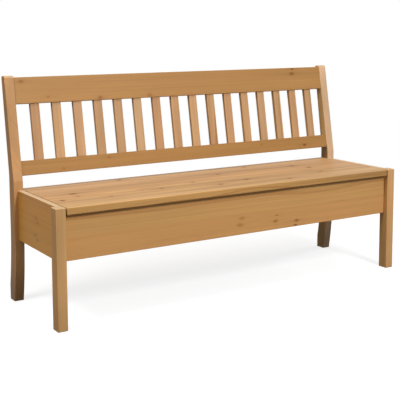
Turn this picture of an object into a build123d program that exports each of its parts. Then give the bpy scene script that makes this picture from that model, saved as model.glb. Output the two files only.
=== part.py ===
from build123d import *
from math import asin, atan2, cos, degrees, floor, hypot, pi, sin
import os

# A solid pine settle: a slatted back over a chest seat with a lift-up lid. The front board
# pulls forward on slats that run between the fixed ones, and two legs fold down to carry it.
# Millimetres. X runs along the bench, -Y is its front, +Z is up, and the origin is on the
# floor under the middle of the bench.

# ---------------------------------------------------------------- driving dimensions

# Whole bench
overall_length = 1664.0
overall_depth = 530.0
overall_height = 916.0
seat_height = 460.0
box_height = 204.0

# Posts
post_width = 40.0
front_post_depth = 48.0
back_post_setback = 423.0
back_post_depth = 49.0
back_post_top_depth = 34.0
back_post_corner_radius = 10.0
front_rake_start = 37.0
rear_rake_start = 60.0
rake_blend_radius = 160.0
foot_depth = 47.0
foot_kick_back = 23.0
foot_straight_height = 62.0
front_flare_height = 270.0
rear_flare_height = 300.0
post_edge_radius = 2.0

# Boards of the chest
panel_thickness = 22.0
panel_tongue_thickness = 8.0
panel_tongue_depth = 8.0
panel_tongue_shoulder = 12.0
front_board_thickness = 22.0
front_board_setback = 22.0
front_board_end_gap = 2.0
front_board_top_gap = 4.0
rear_board_thickness = 20.0
rear_board_setback = 7.0
rear_tenon_thickness = 10.0
rear_tenon_length = 15.0
rear_tenon_shoulder = 20.0
board_edge_radius = 2.0

# Lid, its battens, cleats and pivots
lid_thickness = 28.0
lid_end_gap = 5.0
lid_depth = 414.0
lid_edge_radius = 3.0
lid_rear_gap = 3.0
pivot_from_lid_edge = 28.0
pivot_pin_radius = 4.0
pivot_pin_in_lid = 22.0
pivot_pin_in_panel = 12.0
spacer_washer_radius = 8.5
spacer_washer_play = 0.5
batten_width = 60.0
batten_thickness = 20.0
batten_front = 62.0
batten_length = 300.0
cleat_section = 25.0
cleat_post_gap = 2.0
cleat_pivot_clearance = 25.0
seat_strip_rear = 468.0
seat_strip_end_gap = 1.0

# Back frame
rail_thickness = 26.0
rail_setback = 4.0
rail_edge_radius = 2.0
top_rail_height = 108.5
top_rail_below_post = 6.0
lower_rail_height = 60.2
lower_rail_above_seat = 57.0
rail_tenon_thickness = 12.0
rail_tenon_length = 20.0
rail_tenon_shoulder = 9.0
back_slat_count = 16
back_slat_width = 39.0
back_slat_thickness = 16.0
back_slat_end_gap = 63.1
back_slat_tenon_length = 14.0
back_slat_tenon_shoulder = 3.0
slat_edge_radius = 1.5

# Bed base
bed_slat_width = 65.0
bed_slat_thickness = 18.0
bed_slat_least_gap = 9.0
bed_slat_rear_gap = 3.0
bed_slat_front_gap = 2.0
board_groove_depth = 10.0
board_groove_stop = 20.0
cross_rail_thickness = 28.0
cross_rail_drop = 14.0
ledger_thickness = 22.0
ledger_height = 28.0
ledger_end_gap = 1.0
tie_bar_thickness = 22.0
tie_bar_height = 28.0
tie_bar_end_gap = 3.0
pull_out_stop_gap = 0.5

# Folding legs
leg_width = 38.0
leg_thickness = 24.0
leg_edge_radius = 2.0
leg_side_gap = 3.0
leg_floor_gap = 0.5
leg_bolt_radius = 4.0
leg_bolt_in_board = 14.0
leg_bolt_end = 1.0
leg_washer_radius = 9.0
leg_washer_thickness = 1.5
leg_nut_flats = 13.0
leg_nut_thickness = 6.5
leg_slot_clearance = 2.5
leg_stop_width = 36.0
leg_stop_end_gap = 2.0
leg_stop_gap = 0.3

# Fixings
dowel_radius = 4.0
dowel_in_end_grain = 25.0
dowel_in_panel = 15.0
dowel_in_board_edge = 15.0
dowel_in_strip = 13.0
seat_strip_dowel_count = 5
strip_dowel_margin = 80.0
cross_dowel_margin = 12.0
screw_shank_radius = 2.0
screw_head_radius = 4.0
screw_head_height = 2.0
screw_tip_length = 4.0
screw_tip_radius = 0.5
cleat_screw_length = 38.0
ledger_screw_length = 36.0
slat_screw_length = 36.0
tie_bar_screw_length = 38.0
batten_screw_length = 32.0
leg_stop_screw_length = 38.0
ledger_screw_every = 3
cleat_screw_margin = 35.0
batten_screw_margin = 30.0
leg_stop_screw_margin = 9.0

# Fits, all per side
running_fit = 0.08
snug_fit = 0.02
joint_fit = 0.15
screw_fit = 0.1

# ---------------------------------------------------------------- worked-out places

front_y = -overall_depth / 2
inner_x = overall_length / 2 - post_width
panel_outer_x = inner_x + panel_thickness
box_bottom = seat_height - box_height
lid_bottom = seat_height - lid_thickness

back_post_front_y = front_y + back_post_setback
back_post_rear_y = back_post_front_y + back_post_depth
front_post_rear_y = front_y + front_post_depth

front_board_front_y = front_y + front_board_setback
front_board_rear_y = front_board_front_y + front_board_thickness
front_board_top = lid_bottom - front_board_top_gap
front_board_half_length = inner_x - front_board_end_gap
rear_board_front_y = back_post_front_y + rear_board_setback
rear_board_middle_y = rear_board_front_y + rear_board_thickness / 2

lid_rear_y = front_y + lid_depth
lid_half_length = inner_x - lid_end_gap
pivot_y = lid_rear_y - pivot_from_lid_edge
pivot_z = lid_bottom + lid_thickness / 2
seat_strip_front_y = lid_rear_y + lid_rear_gap

leg_pivot_z = box_bottom + leg_side_gap + leg_width / 2
bed_slat_bottom = box_bottom + leg_width + 2 * leg_side_gap
bed_slat_top = bed_slat_bottom + bed_slat_thickness
leg_front_y = front_board_rear_y + leg_washer_thickness
leg_rear_y = leg_front_y + leg_thickness
leg_nut_y = leg_rear_y + leg_washer_thickness
leg_bolt_end_y = leg_nut_y + leg_nut_thickness + leg_bolt_end
leg_stop_outer_x = front_board_half_length - leg_stop_end_gap
leg_stop_inner_x = leg_stop_outer_x - leg_stop_width
leg_pivot_x = leg_stop_inner_x - leg_stop_gap - leg_width / 2
leg_length = leg_pivot_z - leg_floor_gap

cross_rail_front_y = leg_bolt_end_y + leg_slot_clearance
cross_rail_rear_y = cross_rail_front_y + cross_rail_thickness
cross_rail_middle_y = cross_rail_front_y + cross_rail_thickness / 2
ledger_front_y = rear_board_front_y - ledger_thickness
ledger_middle_y = ledger_front_y + ledger_thickness / 2
tie_bar_rear_y = ledger_front_y
tie_bar_front_y = tie_bar_rear_y - tie_bar_thickness
tie_bar_middle_y = tie_bar_front_y + tie_bar_thickness / 2
pull_out_travel = tie_bar_front_y - cross_rail_rear_y - pull_out_stop_gap

# Bed slats alternate, fixed ones at both ends, as many as fit at the least gap
bed_span = 2 * (inner_x - ledger_end_gap - tie_bar_end_gap)
fixed_slat_count = 1 + floor((bed_span - bed_slat_width) / (2 * (bed_slat_width + bed_slat_least_gap)))
bed_slat_pitch = (bed_span - bed_slat_width) / (2 * (fixed_slat_count - 1))
fixed_slat_xs = [(2 * i - (fixed_slat_count - 1)) * bed_slat_pitch for i in range(fixed_slat_count)]
moving_slat_xs = [x + bed_slat_pitch for x in fixed_slat_xs[:-1]]

# ---------------------------------------------------------------- back post side outline

# The rounded top corners are arcs about two centres, and each raked edge is tangent to one.
rear_corner = (overall_depth / 2 - back_post_corner_radius, overall_height - back_post_corner_radius)
front_corner = (
    rear_corner[0] - back_post_top_depth + 2 * back_post_corner_radius,
    rear_corner[1],
)
front_bend = (back_post_front_y, seat_height + front_rake_start)
rear_bend = (back_post_rear_y, seat_height + rear_rake_start)


def tangent_angle(point, centre, side):
    """Direction of the line from a point that touches the corner arc, side +1 left or -1 right."""
    rise = atan2(centre[1] - point[1], centre[0] - point[0])
    distance = hypot(centre[0] - point[0], centre[1] - point[1])
    return rise + side * asin(back_post_corner_radius / distance)


def arc_point(centre, angle):
    """A point on the corner arc about a centre."""
    return (
        centre[0] + back_post_corner_radius * cos(angle),
        centre[1] + back_post_corner_radius * sin(angle),
    )


front_edge_angle = tangent_angle(front_bend, front_corner, 1)
rear_edge_angle = tangent_angle(rear_bend, rear_corner, -1)
rake = pi / 2 - front_edge_angle
foot_rear_y = back_post_rear_y + foot_kick_back
foot_front_y = foot_rear_y - foot_depth

# The back frame is drawn on its own raked plane: local Y runs up the rake from the bend,
# and the plane is the front face of the rails.
back_plane = Plane(
    origin=(0, back_post_front_y + rail_setback / cos(rake), front_bend[1]),
    x_dir=(1, 0, 0),
    z_dir=(0, -cos(rake), sin(rake)),
)
lower_rail_bottom = (lower_rail_above_seat - front_rake_start) / cos(rake)
lower_rail_top = lower_rail_bottom + lower_rail_height
top_rail_top = (overall_height - top_rail_below_post - front_bend[1]) / cos(rake)
top_rail_bottom = top_rail_top - top_rail_height
back_slat_depth_offset = (rail_thickness - back_slat_thickness) / 2
back_slat_tenon_thickness = back_slat_thickness - 2 * back_slat_tenon_shoulder
back_slat_tenon_width = back_slat_width - 2 * back_slat_tenon_shoulder
back_slat_pitch = (2 * (inner_x - back_slat_end_gap) - back_slat_width) / (back_slat_count - 1)
back_slat_xs = [(i - (back_slat_count - 1) / 2) * back_slat_pitch for i in range(back_slat_count)]


# ---------------------------------------------------------------- helpers

node_count = 0


def save(builder, name):
    """Label a finished piece and write it as its own node."""
    global node_count
    builder.part.label = name
    export_step(builder.part, f"parts/{name}.step")
    node_count += 1


def save_mirrored(builder, name):
    """Write a piece's twin on the other side of the bench."""
    with BuildPart() as twin:
        add(mirror(builder.part, about=Plane.YZ))
    save(twin, name)


def cut_box(x0, x1, y0, y1, z0, z1, mode=Mode.ADD):
    """A box between two corners, inside the part that is being built."""
    with Locations(((x0 + x1) / 2, (y0 + y1) / 2, (z0 + z1) / 2)):
        Box(x1 - x0, y1 - y0, z1 - z0, mode=mode)


def raked_box(x0, x1, s0, s1, d0, d1, mode=Mode.ADD):
    """A box on the raked back: s runs up the rake, d back from the rails' front face."""
    with Locations(back_plane):
        with Locations(((x0 + x1) / 2, (s0 + s1) / 2, -(d0 + d1) / 2)):
            Box(x1 - x0, s1 - s0, d1 - d0, mode=mode)


def screw_set(places, length):
    """Countersunk wood screws with their heads flush at the given places."""
    with BuildPart() as screws:
        with Locations(*places):
            Cone(screw_shank_radius, screw_head_radius, screw_head_height,
                 align=(Align.CENTER, Align.CENTER, Align.MAX))
            Cylinder(screw_shank_radius, length - screw_tip_length,
                     align=(Align.CENTER, Align.CENTER, Align.MAX))
        with Locations(*[place.offset(screw_tip_length - length) for place in places]):
            Cone(screw_tip_radius, screw_shank_radius, screw_tip_length,
                 align=(Align.CENTER, Align.CENTER, Align.MAX))
    return screws


def screw_heads_in(places, length):
    """Countersunk holes through the piece that the screws' heads sit in."""
    with Locations(*places):
        CounterSinkHole(screw_shank_radius + screw_fit, screw_head_radius + screw_fit,
                        length + screw_fit, counter_sink_angle=90)


def screw_tips_in(places, length):
    """Pilot holes in the piece that the screws' tips bite into."""
    with Locations(*places):
        Hole(screw_shank_radius + screw_fit, length + screw_fit)


def dowel_set(places, length):
    """Round dowels that run along each place's own Z from its origin."""
    with BuildPart() as dowels:
        with Locations(*places):
            Cylinder(dowel_radius, length, align=(Align.CENTER, Align.CENTER, Align.MIN))
    return dowels


def dowel_holes(places, length):
    """The dowels' holes in the piece that is being built."""
    with Locations(*places):
        Cylinder(dowel_radius + snug_fit, length + screw_fit,
                 align=(Align.CENTER, Align.CENTER, Align.MIN), mode=Mode.SUBTRACT)


# ---------------------------------------------------------------- places of the fixings

facing_in = {side: Vector(-side, 0, 0) for side in (-1, 1)}

# Cleats: three screws each, driven outwards into the end panels
cleat_bottom = lid_bottom - cleat_section
cleat_front_y = front_post_rear_y + cleat_post_gap
cleat_rear_y = pivot_y - cleat_pivot_clearance
cleat_middle_z = cleat_bottom + cleat_section / 2
cleat_screw_ys = [
    cleat_front_y + cleat_screw_margin,
    (cleat_front_y + cleat_rear_y) / 2,
    cleat_rear_y - cleat_screw_margin,
]
cleat_screws_at = {
    side: [
        Plane(origin=(side * (inner_x - cleat_section), y, cleat_middle_z), z_dir=facing_in[side])
        for y in cleat_screw_ys
    ]
    for side in (-1, 1)
}

# Rear ledger: screws driven back into the rear board, under every third moving slat, so that
# they pass between the fixed slats' own screws
ledger_bottom = bed_slat_bottom - ledger_height
ledger_screws_at = [
    Plane(origin=(x, ledger_front_y, ledger_bottom + ledger_height / 2), z_dir=(0, -1, 0))
    for x in moving_slat_xs[::ledger_screw_every]
]

# Fixed slats: one screw down into the cross rail and one into the ledger
fixed_slat_screws_at = [
    Plane(origin=(x, y, bed_slat_top), z_dir=(0, 0, 1))
    for x in fixed_slat_xs
    for y in (cross_rail_middle_y, ledger_middle_y)
]

# Tie bar: a screw up into each moving slat
tie_bar_bottom = bed_slat_bottom - tie_bar_height
tie_bar_screws_at = [
    Plane(origin=(x, tie_bar_middle_y, tie_bar_bottom), x_dir=(1, 0, 0), z_dir=(0, 0, -1))
    for x in moving_slat_xs
]

# Lid battens: three screws each, up into the lid
batten_x = lid_half_length / 2
batten_bottom = lid_bottom - batten_thickness
batten_front_y = front_y + batten_front
batten_screws_at = {
    side: [
        Plane(origin=(side * batten_x, batten_front_y + along, batten_bottom),
              x_dir=(1, 0, 0), z_dir=(0, 0, -1))
        for along in (batten_screw_margin, batten_length / 2, batten_length - batten_screw_margin)
    ]
    for side in (-1, 1)
}

# Leg stop blocks: two screws each, forward into the front board
leg_stop_bottom = box_bottom + leg_side_gap
leg_stop_top = bed_slat_bottom - leg_side_gap
leg_stop_screws_at = {
    side: [
        Plane(origin=(side * (leg_stop_outer_x + leg_stop_inner_x) / 2, leg_rear_y, z),
              z_dir=(0, 1, 0))
        for z in (leg_stop_bottom + leg_stop_screw_margin, leg_stop_top - leg_stop_screw_margin)
    ]
    for side in (-1, 1)
}

# Cross rail: two dowels at each end, into the end panels
cross_dowels_at = {
    side: [
        Plane(origin=(side * (inner_x - dowel_in_end_grain), cross_rail_middle_y, z),
              z_dir=(side, 0, 0))
        for z in (box_bottom + cross_dowel_margin, bed_slat_bottom - cross_dowel_margin)
    ]
    for side in (-1, 1)
}
cross_dowel_length = dowel_in_end_grain + dowel_in_panel

# Rear seat strip: dowels standing in the rear board's top edge
strip_dowel_step = 2 * (inner_x - strip_dowel_margin) / (seat_strip_dowel_count - 1)
strip_dowels_at = [
    Plane(
        origin=(i * strip_dowel_step - (inner_x - strip_dowel_margin), rear_board_middle_y,
                lid_bottom - dowel_in_board_edge),
        z_dir=(0, 0, 1),
    )
    for i in range(seat_strip_dowel_count)
]
strip_dowel_length = dowel_in_board_edge + dowel_in_strip

# Lid pivots: the pins lie along X at mid thickness
pin_length = pivot_pin_in_lid + lid_end_gap + pivot_pin_in_panel
pins_at = {
    side: Plane(origin=(side * (lid_half_length - pivot_pin_in_lid), pivot_y, pivot_z),
                z_dir=(side, 0, 0))
    for side in (-1, 1)
}

# Legs: the hanger bolts lie along Y, with their wood thread in the front board
bolts_at = {
    side: Plane(origin=(side * leg_pivot_x, front_board_rear_y - leg_bolt_in_board, leg_pivot_z),
                x_dir=(1, 0, 0), z_dir=(0, 1, 0))
    for side in (-1, 1)
}
bolt_length = leg_bolt_end_y - front_board_rear_y + leg_bolt_in_board

# Tongues and tenons, and the grooves and mortises that take them
tongue_middle_x = inner_x + panel_thickness / 2
tongue_bottom = box_bottom + panel_tongue_shoulder
tongue_top = seat_height - panel_tongue_shoulder
rail_tenon_offset = (rail_thickness - rail_tenon_thickness) / 2


# ---------------------------------------------------------------- posts

with BuildPart() as front_post:
    cut_box(inner_x, inner_x + post_width, front_y, front_post_rear_y, 0, seat_height)
    fillet(front_post.edges(), post_edge_radius)
    cut_box(
        tongue_middle_x - panel_tongue_thickness / 2 - joint_fit,
        tongue_middle_x + panel_tongue_thickness / 2 + joint_fit,
        front_post_rear_y - panel_tongue_depth - joint_fit,
        front_post_rear_y,
        tongue_bottom - joint_fit,
        tongue_top + joint_fit,
        mode=Mode.SUBTRACT,
    )
save(front_post, "front_post_right")
save_mirrored(front_post, "front_post_left")

with BuildPart() as back_post:
    with BuildSketch(Plane.YZ.offset(inner_x)) as side_outline:
        with BuildLine():
            Line((foot_front_y, 0), (foot_rear_y, 0))
            Line((foot_rear_y, 0), (foot_rear_y, foot_straight_height))
            TangentArc(
                (back_post_rear_y, rear_flare_height),
                (foot_rear_y, foot_straight_height),
                tangent=(0, -1),
            )
            rear_touch = arc_point(rear_corner, rear_edge_angle - pi / 2)
            Polyline((back_post_rear_y, rear_flare_height), rear_bend, rear_touch)
            ThreePointArc(
                rear_touch,
                arc_point(rear_corner, rear_edge_angle / 2),
                arc_point(rear_corner, pi / 2),
            )
            front_touch = arc_point(front_corner, front_edge_angle + pi / 2)
            Line(arc_point(rear_corner, pi / 2), arc_point(front_corner, pi / 2))
            ThreePointArc(
                arc_point(front_corner, pi / 2),
                arc_point(front_corner, pi / 2 + front_edge_angle / 2),
                front_touch,
            )
            Polyline(front_touch, front_bend, (back_post_front_y, front_flare_height))
            TangentArc(
                (back_post_front_y, front_flare_height),
                (foot_front_y, 0),
                tangent=(0, -1),
            )
        make_face()
        bends = [
            v for v in side_outline.vertices()
            if min(
                hypot(v.Y - front_bend[0], v.Z - front_bend[1]),
                hypot(v.Y - rear_bend[0], v.Z - rear_bend[1]),
            ) < 1
        ]
        fillet(bends, rake_blend_radius)
    extrude(amount=post_width)
    fillet(
        back_post.faces().sort_by(Axis.X)[0].edges() + back_post.faces().sort_by(Axis.X)[-1].edges(),
        post_edge_radius,
    )
    cut_box(
        tongue_middle_x - panel_tongue_thickness / 2 - joint_fit,
        tongue_middle_x + panel_tongue_thickness / 2 + joint_fit,
        back_post_front_y,
        back_post_front_y + panel_tongue_depth + joint_fit,
        tongue_bottom - joint_fit,
        tongue_top + joint_fit,
        mode=Mode.SUBTRACT,
    )
    cut_box(
        inner_x,
        inner_x + rear_tenon_length + joint_fit,
        rear_board_middle_y - rear_tenon_thickness / 2 - joint_fit,
        rear_board_middle_y + rear_tenon_thickness / 2 + joint_fit,
        box_bottom + rear_tenon_shoulder - joint_fit,
        lid_bottom - rear_tenon_shoulder + joint_fit,
        mode=Mode.SUBTRACT,
    )
    for bottom, top in ((lower_rail_bottom, lower_rail_top), (top_rail_bottom, top_rail_top)):
        raked_box(
            inner_x,
            inner_x + rail_tenon_length + joint_fit,
            bottom + rail_tenon_shoulder - joint_fit,
            top - rail_tenon_shoulder + joint_fit,
            rail_tenon_offset - joint_fit,
            rail_tenon_offset + rail_tenon_thickness + joint_fit,
            mode=Mode.SUBTRACT,
        )
save(back_post, "back_post_right")
save_mirrored(back_post, "back_post_left")

# ---------------------------------------------------------------- chest boards

for side, name in ((-1, "end_panel_left"), (1, "end_panel_right")):
    with BuildPart() as end_panel:
        cut_box(*sorted((side * inner_x, side * panel_outer_x)),
                front_post_rear_y, back_post_front_y, box_bottom, seat_height)
        fillet(end_panel.edges().filter_by(Axis.Y), board_edge_radius)
        cut_box(
            *sorted((
                side * (tongue_middle_x - panel_tongue_thickness / 2),
                side * (tongue_middle_x + panel_tongue_thickness / 2),
            )),
            front_post_rear_y - panel_tongue_depth,
            back_post_front_y + panel_tongue_depth,
            tongue_bottom,
            tongue_top,
        )
        screw_tips_in(cleat_screws_at[side], cleat_screw_length)
        dowel_holes(cross_dowels_at[side], cross_dowel_length)
        with Locations(pins_at[side]):
            Cylinder(pivot_pin_radius + snug_fit, pin_length + screw_fit,
                     align=(Align.CENTER, Align.CENTER, Align.MIN), mode=Mode.SUBTRACT)
    save(end_panel, name)

with BuildPart() as rear_board:
    cut_box(-inner_x, inner_x, rear_board_front_y, rear_board_front_y + rear_board_thickness,
            box_bottom, lid_bottom)
    fillet(rear_board.edges().filter_by(Axis.X).group_by(Axis.Z)[0], board_edge_radius)
    cut_box(
        -inner_x - rear_tenon_length,
        inner_x + rear_tenon_length,
        rear_board_middle_y - rear_tenon_thickness / 2,
        rear_board_middle_y + rear_tenon_thickness / 2,
        box_bottom + rear_tenon_shoulder,
        lid_bottom - rear_tenon_shoulder,
    )
    screw_tips_in(ledger_screws_at, ledger_screw_length)
    dowel_holes(strip_dowels_at, strip_dowel_length)
save(rear_board, "rear_board")

with BuildPart() as seat_strip:
    cut_box(-inner_x + seat_strip_end_gap, inner_x - seat_strip_end_gap,
            seat_strip_front_y, front_y + seat_strip_rear, lid_bottom, seat_height)
    fillet(seat_strip.edges().filter_by(Axis.X).group_by(Axis.Z)[-1], board_edge_radius)
    dowel_holes(strip_dowels_at, strip_dowel_length)
save(seat_strip, "rear_seat_strip")
save(dowel_set(strip_dowels_at, strip_dowel_length), "seat_strip_dowels")

for side, name in ((-1, "lid_cleat_left"), (1, "lid_cleat_right")):
    with BuildPart() as cleat:
        cut_box(*sorted((side * (inner_x - cleat_section), side * inner_x)),
                cleat_front_y, cleat_rear_y, cleat_bottom, lid_bottom)
        fillet(
            cleat.edges().filter_by(Axis.Y).group_by(Axis.Z)[0].sort_by(Axis.X)[-(side + 1) // 2],
            board_edge_radius,
        )
        screw_heads_in(cleat_screws_at[side], cleat_screw_length)
    save(cleat, name)
save(screw_set(cleat_screws_at[-1] + cleat_screws_at[1], cleat_screw_length), "cleat_screws")

# ---------------------------------------------------------------- back rails and slats

rails = (
    ("lower_back_rail", lower_rail_bottom, lower_rail_top, lower_rail_top, -1),
    ("top_rail", top_rail_bottom, top_rail_top, top_rail_bottom, 1),
)
for name, bottom, top, slat_edge, into in rails:
    with BuildPart() as rail:
        raked_box(-inner_x, inner_x, bottom, top, 0, rail_thickness)
        fillet(rail.edges().filter_by(Axis.X), rail_edge_radius)
        raked_box(
            -inner_x - rail_tenon_length,
            inner_x + rail_tenon_length,
            bottom + rail_tenon_shoulder,
            top - rail_tenon_shoulder,
            rail_tenon_offset,
            rail_tenon_offset + rail_tenon_thickness,
        )
        for x in back_slat_xs:
            mortise_end = slat_edge + into * (back_slat_tenon_length + joint_fit)
            raked_box(
                x - back_slat_tenon_width / 2 - joint_fit,
                x + back_slat_tenon_width / 2 + joint_fit,
                *sorted((slat_edge, mortise_end)),
                back_slat_depth_offset + back_slat_tenon_shoulder - joint_fit,
                rail_thickness - back_slat_depth_offset - back_slat_tenon_shoulder + joint_fit,
                mode=Mode.SUBTRACT,
            )
    save(rail, name)

for number, x in enumerate(back_slat_xs, start=1):
    with BuildPart() as back_slat:
        raked_box(
            x - back_slat_width / 2,
            x + back_slat_width / 2,
            lower_rail_top,
            top_rail_bottom,
            back_slat_depth_offset,
            back_slat_depth_offset + back_slat_thickness,
        )
        long_edges = back_slat.edges().sort_by(SortBy.LENGTH)[-4:]
        fillet(long_edges, slat_edge_radius)
        raked_box(
            x - back_slat_tenon_width / 2,
            x + back_slat_tenon_width / 2,
            lower_rail_top - back_slat_tenon_length,
            top_rail_bottom + back_slat_tenon_length,
            back_slat_depth_offset + back_slat_tenon_shoulder,
            back_slat_depth_offset + back_slat_tenon_shoulder + back_slat_tenon_thickness,
        )
    save(back_slat, f"back_slat_{number:02d}")

# ---------------------------------------------------------------- fixed half of the bed base

with BuildPart() as cross_rail:
    cut_box(-inner_x, inner_x, cross_rail_front_y, cross_rail_rear_y,
            box_bottom - cross_rail_drop, bed_slat_bottom)
    fillet(cross_rail.edges().filter_by(Axis.X).group_by(Axis.Z)[0], board_edge_radius)
    screw_tips_in(fixed_slat_screws_at, slat_screw_length)
    for side in (-1, 1):
        dowel_holes(cross_dowels_at[side], cross_dowel_length)
save(cross_rail, "front_cross_rail")
save(dowel_set(cross_dowels_at[-1] + cross_dowels_at[1], cross_dowel_length), "cross_rail_dowels")

with BuildPart() as ledger:
    cut_box(-inner_x + ledger_end_gap, inner_x - ledger_end_gap,
            ledger_front_y, rear_board_front_y, ledger_bottom, bed_slat_bottom)
    screw_heads_in(ledger_screws_at, ledger_screw_length)
    screw_tips_in(fixed_slat_screws_at, slat_screw_length)
save(ledger, "rear_slat_ledger")
save(screw_set(ledger_screws_at, ledger_screw_length), "ledger_screws")

with BuildPart() as fixed_slats:
    slat_front_y = cross_rail_front_y + bed_slat_front_gap
    slat_rear_y = rear_board_front_y - bed_slat_rear_gap
    for x in fixed_slat_xs:
        cut_box(x - bed_slat_width / 2, x + bed_slat_width / 2,
                slat_front_y, slat_rear_y, bed_slat_bottom, bed_slat_top)
    fillet(
        fixed_slats.edges().filter_by(Axis.Y).group_by(Axis.Z)[-1],
        slat_edge_radius,
    )
    screw_heads_in(fixed_slat_screws_at, slat_screw_length)
save(fixed_slats, "fixed_bed_slats")
save(screw_set(fixed_slat_screws_at, slat_screw_length), "fixed_slat_screws")

# ---------------------------------------------------------------- lid

with BuildPart() as lid:
    cut_box(-lid_half_length, lid_half_length, front_y, lid_rear_y, lid_bottom, seat_height)
    fillet(lid.edges(), lid_edge_radius)
    for side in (-1, 1):
        screw_tips_in(batten_screws_at[side], batten_screw_length)
        with Locations(pins_at[side]):
            Cylinder(pivot_pin_radius + running_fit, pin_length,
                     align=(Align.CENTER, Align.CENTER, Align.MIN), mode=Mode.SUBTRACT)
save(lid, "seat_lid")

for side, name in ((-1, "lid_batten_left"), (1, "lid_batten_right")):
    with BuildPart() as batten:
        middle = side * batten_x
        cut_box(middle - batten_width / 2, middle + batten_width / 2,
                batten_front_y, batten_front_y + batten_length, batten_bottom, lid_bottom)
        fillet(batten.faces().sort_by(Axis.Z)[0].edges(), board_edge_radius)
        screw_heads_in(batten_screws_at[side], batten_screw_length)
    save(batten, name)
save(screw_set(batten_screws_at[-1] + batten_screws_at[1], batten_screw_length), "batten_screws")

with BuildPart() as pins:
    with Locations(pins_at[-1], pins_at[1]):
        Cylinder(pivot_pin_radius, pin_length, align=(Align.CENTER, Align.CENTER, Align.MIN))
save(pins, "lid_pivot_pins")

with BuildPart() as spacers:
    with Locations(*[pins_at[side].offset(pivot_pin_in_lid + spacer_washer_play) for side in (-1, 1)]):
        Cylinder(spacer_washer_radius, lid_end_gap - spacer_washer_play,
                 align=(Align.CENTER, Align.CENTER, Align.MIN))
        Cylinder(pivot_pin_radius + snug_fit, lid_end_gap - spacer_washer_play,
                 align=(Align.CENTER, Align.CENTER, Align.MIN), mode=Mode.SUBTRACT)
save(spacers, "lid_spacer_washers")

# ---------------------------------------------------------------- pull-out half of the bed

groove_end = front_board_half_length - board_groove_stop
with BuildPart() as front_board:
    cut_box(-front_board_half_length, front_board_half_length,
            front_board_front_y, front_board_rear_y, box_bottom, front_board_top)
    fillet(front_board.edges().filter_by(Axis.X), board_edge_radius)
    cut_box(-groove_end, groove_end, front_board_rear_y - board_groove_depth, front_board_rear_y,
            bed_slat_bottom - joint_fit, bed_slat_top + joint_fit, mode=Mode.SUBTRACT)
    for side in (-1, 1):
        screw_tips_in(leg_stop_screws_at[side], leg_stop_screw_length)
        with Locations(bolts_at[side]):
            Cylinder(leg_bolt_radius + snug_fit, bolt_length,
                     align=(Align.CENTER, Align.CENTER, Align.MIN), mode=Mode.SUBTRACT)
save(front_board, "front_board")

with BuildPart() as moving_slats:
    slat_front_y = front_board_rear_y - board_groove_depth
    slat_rear_y = rear_board_front_y - bed_slat_rear_gap
    for x in moving_slat_xs:
        cut_box(x - bed_slat_width / 2, x + bed_slat_width / 2,
                slat_front_y, slat_rear_y, bed_slat_bottom, bed_slat_top)
    fillet(
        moving_slats.edges().filter_by(Axis.Y).group_by(Axis.Z)[-1],
        slat_edge_radius,
    )
    screw_tips_in(tie_bar_screws_at, tie_bar_screw_length)
save(moving_slats, "pull_out_bed_slats")

with BuildPart() as tie_bar:
    cut_box(-inner_x + tie_bar_end_gap, inner_x - tie_bar_end_gap,
            tie_bar_front_y, tie_bar_rear_y, tie_bar_bottom, bed_slat_bottom)
    screw_heads_in(tie_bar_screws_at, tie_bar_screw_length)
save(tie_bar, "slat_tie_bar")
save(screw_set(tie_bar_screws_at, tie_bar_screw_length), "tie_bar_screws")

for side, name in ((-1, "leg_stop_left"), (1, "leg_stop_right")):
    with BuildPart() as leg_stop:
        cut_box(*sorted((side * leg_stop_inner_x, side * leg_stop_outer_x)),
                front_board_rear_y, leg_rear_y, leg_stop_bottom, leg_stop_top)
        screw_heads_in(leg_stop_screws_at[side], leg_stop_screw_length)
    save(leg_stop, name)
save(
    screw_set(leg_stop_screws_at[-1] + leg_stop_screws_at[1], leg_stop_screw_length),
    "leg_stop_screws",
)

with BuildPart() as bolts:
    with Locations(bolts_at[-1], bolts_at[1]):
        Cylinder(leg_bolt_radius, bolt_length, align=(Align.CENTER, Align.CENTER, Align.MIN))
save(bolts, "leg_pivot_bolts")

with BuildPart() as washers:
    first_washer = leg_bolt_in_board
    second_washer = leg_bolt_in_board + leg_washer_thickness + leg_thickness
    for along in (first_washer, second_washer):
        with Locations(*[bolts_at[side].offset(along) for side in (-1, 1)]):
            Cylinder(leg_washer_radius, leg_washer_thickness,
                     align=(Align.CENTER, Align.CENTER, Align.MIN))
            Cylinder(leg_bolt_radius + snug_fit, leg_washer_thickness,
                     align=(Align.CENTER, Align.CENTER, Align.MIN), mode=Mode.SUBTRACT)
save(washers, "leg_washers")

with BuildPart() as nuts:
    for side in (-1, 1):
        with BuildSketch(bolts_at[side].offset(leg_nut_y - front_board_rear_y + leg_bolt_in_board)):
            RegularPolygon(leg_nut_flats / 2, 6, major_radius=False)
            Circle(leg_bolt_radius + snug_fit, mode=Mode.SUBTRACT)
        extrude(amount=leg_nut_thickness)
save(nuts, "leg_lock_nuts")

# ---------------------------------------------------------------- folding legs, shown folded up

for side, name in ((-1, "folding_leg_left"), (1, "folding_leg_right")):
    with BuildPart() as leg:
        with BuildSketch(Plane(origin=(side * leg_pivot_x, leg_front_y, leg_pivot_z),
                               x_dir=(-side, 0, 0), z_dir=(0, side, 0))):
            with Locations((leg_length / 2, 0)):
                Rectangle(leg_length, leg_width)
            Circle(leg_width / 2)
            Circle(leg_bolt_radius + running_fit, mode=Mode.SUBTRACT)
        extrude(amount=side * leg_thickness)
        foot_face = leg.faces().sort_by(Axis.X)[0 if side > 0 else -1]
        fillet(foot_face.edges(), leg_edge_radius)
    save(leg, name)

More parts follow.
